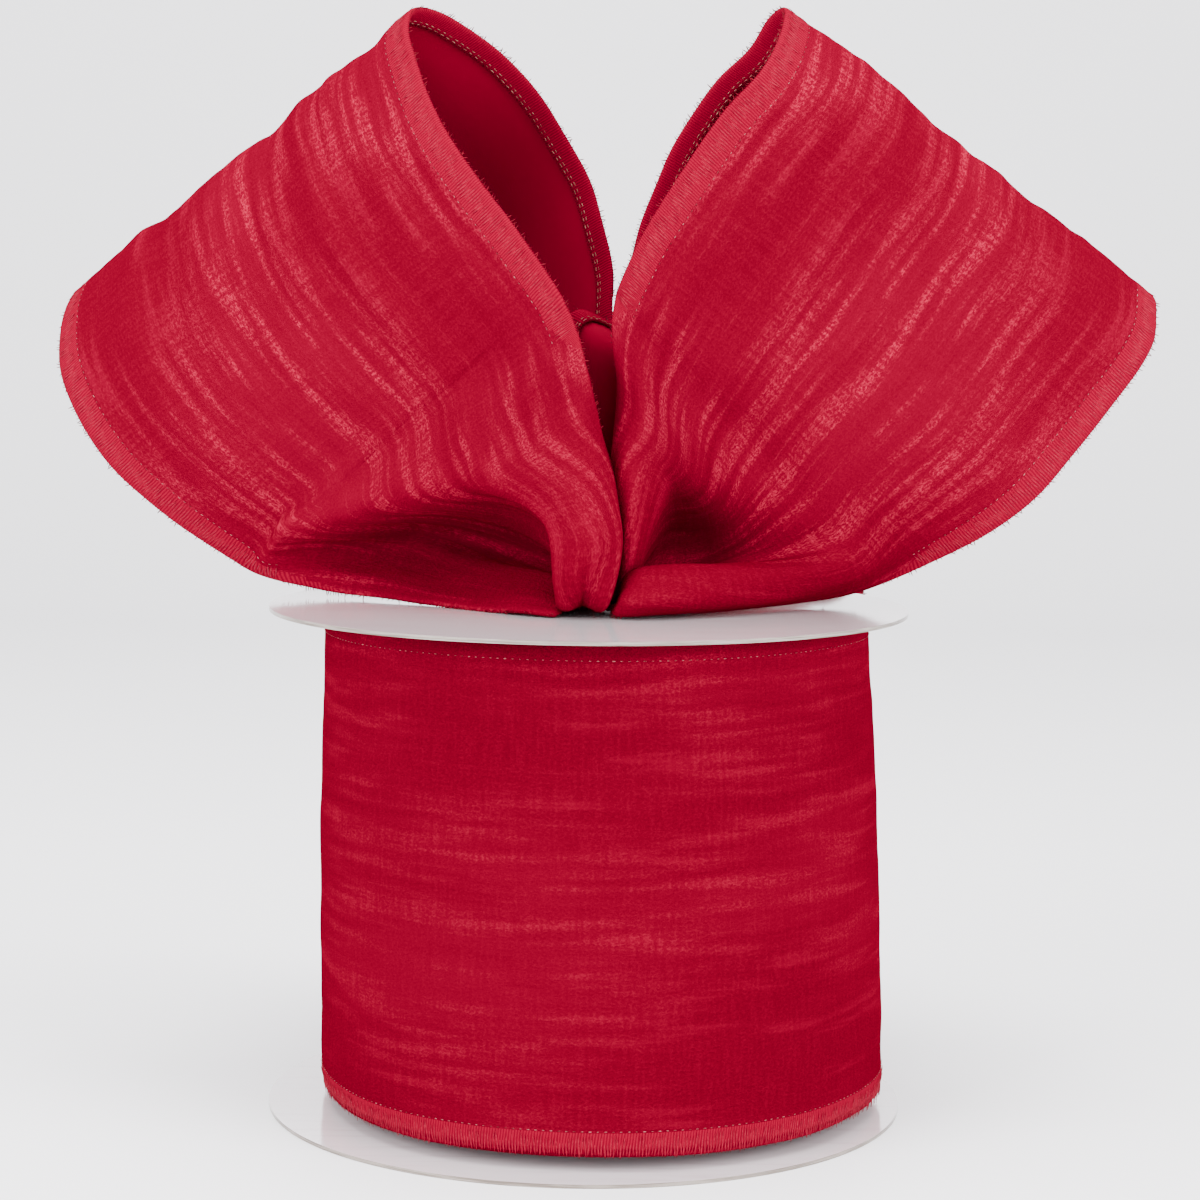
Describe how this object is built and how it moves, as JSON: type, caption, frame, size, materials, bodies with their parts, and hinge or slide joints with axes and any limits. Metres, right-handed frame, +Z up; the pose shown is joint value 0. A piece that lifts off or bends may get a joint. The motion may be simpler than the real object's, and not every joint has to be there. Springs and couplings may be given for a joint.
{
  "type": "gift bow on ribbon spool",
  "caption": "Flanged cardboard spool wound with wide wired velvet ribbon, with a loose looped bow of the same ribbon seated in its top hub hole.",
  "frame": {"origin": "on the spool's axis at the underside of the bottom flange, which is the surface it stands on", "axes": "+Z up along the spool's axis, +X to the right of the bow seen from its front, and the bow's front faces -Y"},
  "size_m": [0.2212, 0.1468, 0.23],
  "materials": {
    "velvet": "crushed velvet pile",
    "satin": "smooth satin lining",
    "edge_wire": "fine annealed wire",
    "flange_board": "glossy white coated chipboard with a raw brown edge",
    "core_board": "raw spiral-wound board",
    "glue": "dried glue",
    "tie": "flat plastic-coated tie"
  },
  "bodies": {
    "spool": {"bottom_flange": "flange_board", "top_flange": "flange_board", "core_tube": "core_board", "bottom_glue_ring": "glue", "top_glue_ring": "glue", "wound_velvet": "velvet", "wound_satin": "satin", "wound_bottom_wire": "edge_wire", "wound_top_wire": "edge_wire"},
    "ribbon_end": {"ribbon_end_velvet": "velvet", "ribbon_end_satin": "satin", "ribbon_end_bottom_wire": "edge_wire", "ribbon_end_top_wire": "edge_wire"},
    "tie": {"twist_tie": "tie"},
    "bow": {"gather": "velvet", "tail_velvet": "velvet", "tail_satin": "satin", "tail_outer_wire": "edge_wire", "tail_inner_wire": "edge_wire"},
    "left_loop": {"left_loop_velvet": "velvet", "left_loop_satin": "satin", "left_loop_outer_wire": "edge_wire", "left_loop_inner_wire": "edge_wire"},
    "right_loop": {"right_loop_velvet": "velvet", "right_loop_satin": "satin", "right_loop_outer_wire": "edge_wire", "right_loop_inner_wire": "edge_wire"}
  },
  "joints": [
    {"name": "bow_lift", "type": "slide", "parent": "spool", "child": "tie", "axis": [0, 0, 1], "range_m": [0, 0.03]},
    {"name": "bow_turn", "type": "hinge", "parent": "tie", "child": "bow", "pos_m": [0, 0, 0.1], "axis": [0, 0, 1], "continuous": true},
    {"name": "left_loop_swing", "type": "hinge", "parent": "bow", "child": "left_loop", "pos_m": [0, 0, 0.107], "axis": [0, 0, 1], "range_deg": [-10, 10]},
    {"name": "right_loop_swing", "type": "hinge", "parent": "bow", "child": "right_loop", "pos_m": [0, 0, 0.107], "axis": [0, 0, 1], "range_deg": [-10, 10]},
    {"name": "ribbon_end_peel", "type": "hinge", "parent": "spool", "child": "ribbon_end", "pos_m": [-0.04931, 0.03081, 0.052], "axis": [0, 0, -1], "range_deg": [0, 60]}
  ]
}
